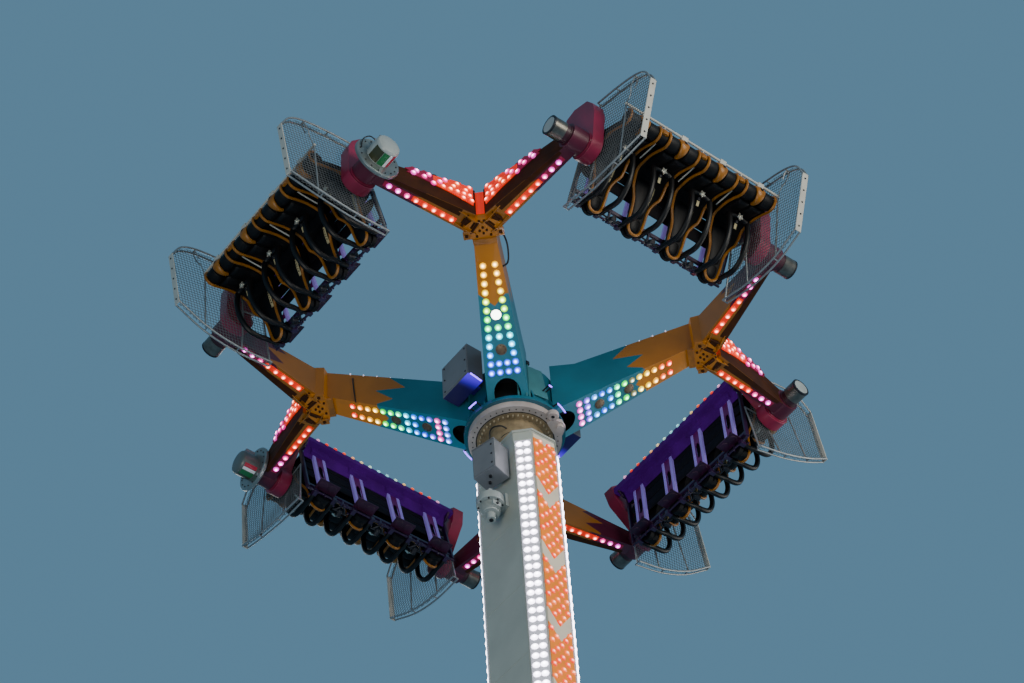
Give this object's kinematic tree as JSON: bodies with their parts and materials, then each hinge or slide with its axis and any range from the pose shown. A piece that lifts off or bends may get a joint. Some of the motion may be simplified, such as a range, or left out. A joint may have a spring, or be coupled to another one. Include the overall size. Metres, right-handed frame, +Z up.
{
  "type": "spinning arm fairground ride",
  "caption": "Box mast with a slewing ring and a lamp-lit star whose forked arms carry swinging seat rows with over-shoulder restraints and mesh end guards",
  "frame": {"origin": "centre of the flat underside of the mast's foot flange", "axes": "+Z up along the mast and the star's axis, X across the mast's narrow side, Y across its wide side; the star's arms lie on the diagonals at rest"},
  "size_m": [10.0471, 10.1179, 11.3377],
  "materials": {
    "mast_grey": "smooth pale grey paint",
    "rail_white": "white enamel behind the lamps",
    "panel_beige": "beige paint with amber chevrons",
    "ring_pale": "pale grey pink paint",
    "ring_ochre": "greasy machined iron",
    "box_grey": "grey powder coat",
    "motor_white": "off-white machine enamel",
    "star_teal": "gloss teal paint",
    "star_amber": "gloss amber paint",
    "fork_magenta": "gloss dark magenta paint",
    "gondola_purple": "gloss purple paint",
    "seat_black": "black grained vinyl",
    "restraint_black": "glossy black coating",
    "galvanised": "zinc coated steel"
  },
  "bodies": {
    "mast": {"mast_column": "mast_grey", "mast_foot": "mast_grey", "lamp_rail_near": "rail_white", "lamp_rail_right": "rail_white", "lamp_rail_far": "rail_white", "lamp_rail_left": "rail_white", "chevron_panel_front": "panel_beige", "chevron_panel_back": "panel_beige", "junction_box": "box_grey", "gear_motor": "motor_white", "slew_ring_inner": "ring_ochre"},
    "star": {"slew_ring_outer": "ring_pale", "hub_body": "star_teal", "arm_near": "star_teal", "arm_right": "star_teal", "arm_far": "star_teal", "arm_left": "star_teal", "cabinet_large": "box_grey", "cabinet_small": "box_grey", "fork_a_left": "fork_magenta", "fork_a_right": "fork_magenta", "drive_motor_a": "motor_white", "fork_b_left": "fork_magenta", "fork_b_right": "fork_magenta", "fork_c_left": "fork_magenta", "fork_c_right": "fork_magenta", "drive_motor_c": "motor_white", "fork_d_left": "fork_magenta", "fork_d_right": "fork_magenta"},
    "gondola_a": {"gondola_a_frame": "gondola_purple", "gondola_a_seats": "seat_black", "gondola_a_guard": "galvanised"},
    "harness_a": {"gondola_a_harness": "restraint_black"},
    "gondola_b": {"gondola_b_frame": "gondola_purple", "gondola_b_seats": "seat_black", "gondola_b_guard": "galvanised"},
    "harness_b": {"gondola_b_harness": "restraint_black"},
    "gondola_c": {"gondola_c_frame": "gondola_purple", "gondola_c_seats": "seat_black", "gondola_c_guard": "galvanised"},
    "harness_c": {"gondola_c_harness": "restraint_black"},
    "gondola_d": {"gondola_d_frame": "gondola_purple", "gondola_d_seats": "seat_black", "gondola_d_guard": "galvanised"},
    "harness_d": {"gondola_d_harness": "restraint_black"}
  },
  "joints": [
    {"name": "star_spin", "type": "hinge", "parent": "mast", "child": "star", "pos_m": [0, 0, 8.7], "axis": [0, 0, 1], "continuous": true},
    {"name": "gondola_a_swing", "type": "hinge", "parent": "star", "child": "gondola_a", "pos_m": [-3.8, 0, 10.266], "axis": [0, 1, 0], "continuous": true},
    {"name": "harness_a_lift", "type": "hinge", "parent": "gondola_a", "child": "harness_a", "pos_m": [-3.21193, 0, 9.82464], "axis": [0, -1, 0], "range_deg": [0, 80]},
    {"name": "gondola_b_swing", "type": "hinge", "parent": "star", "child": "gondola_b", "pos_m": [0, -3.8, 10.266], "axis": [-1, 0, 0], "continuous": true},
    {"name": "harness_b_lift", "type": "hinge", "parent": "gondola_b", "child": "harness_b", "pos_m": [0, -3.13908, 9.94381], "axis": [1, 0, 0], "range_deg": [0, 80]},
    {"name": "gondola_c_swing", "type": "hinge", "parent": "star", "child": "gondola_c", "pos_m": [0, 3.8, 10.266], "axis": [1, 0, 0], "continuous": true},
    {"name": "harness_c_lift", "type": "hinge", "parent": "gondola_c", "child": "harness_c", "pos_m": [0, 3.25867, 9.76842], "axis": [-1, 0, 0], "range_deg": [0, 80]},
    {"name": "gondola_d_swing", "type": "hinge", "parent": "star", "child": "gondola_d", "pos_m": [3.8, 0, 10.266], "axis": [0, -1, 0], "continuous": true},
    {"name": "harness_d_lift", "type": "hinge", "parent": "gondola_d", "child": "harness_d", "pos_m": [3.3771, 0, 9.66452], "axis": [0, 1, 0], "range_deg": [0, 80]}
  ]
}
